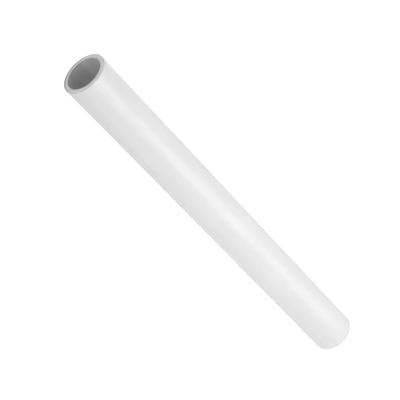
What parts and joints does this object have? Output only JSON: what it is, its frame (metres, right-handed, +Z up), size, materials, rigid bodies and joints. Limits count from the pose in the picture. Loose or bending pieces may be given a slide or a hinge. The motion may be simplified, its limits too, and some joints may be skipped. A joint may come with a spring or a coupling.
{
  "type": "pvc conduit pipe",
  "caption": "Straight length of rigid round plastic conduit pipe: a smooth hollow tube with square-cut, deburred ends that shields electrical cables.",
  "frame": {"origin": "centre of the pipe's foot end, on its axis and in the plane that it stands on", "axes": "+Z runs up the pipe's axis to its top end, the end nearer the viewer in the picture; +X and +Y lie across the round section, which is the same in every direction"},
  "size_m": [0.02, 0.02, 0.206],
  "materials": {
    "white_pvc": "satin"
  },
  "bodies": {
    "root": {"conduit_pipe": "white_pvc"}
  },
  "joints": []
}
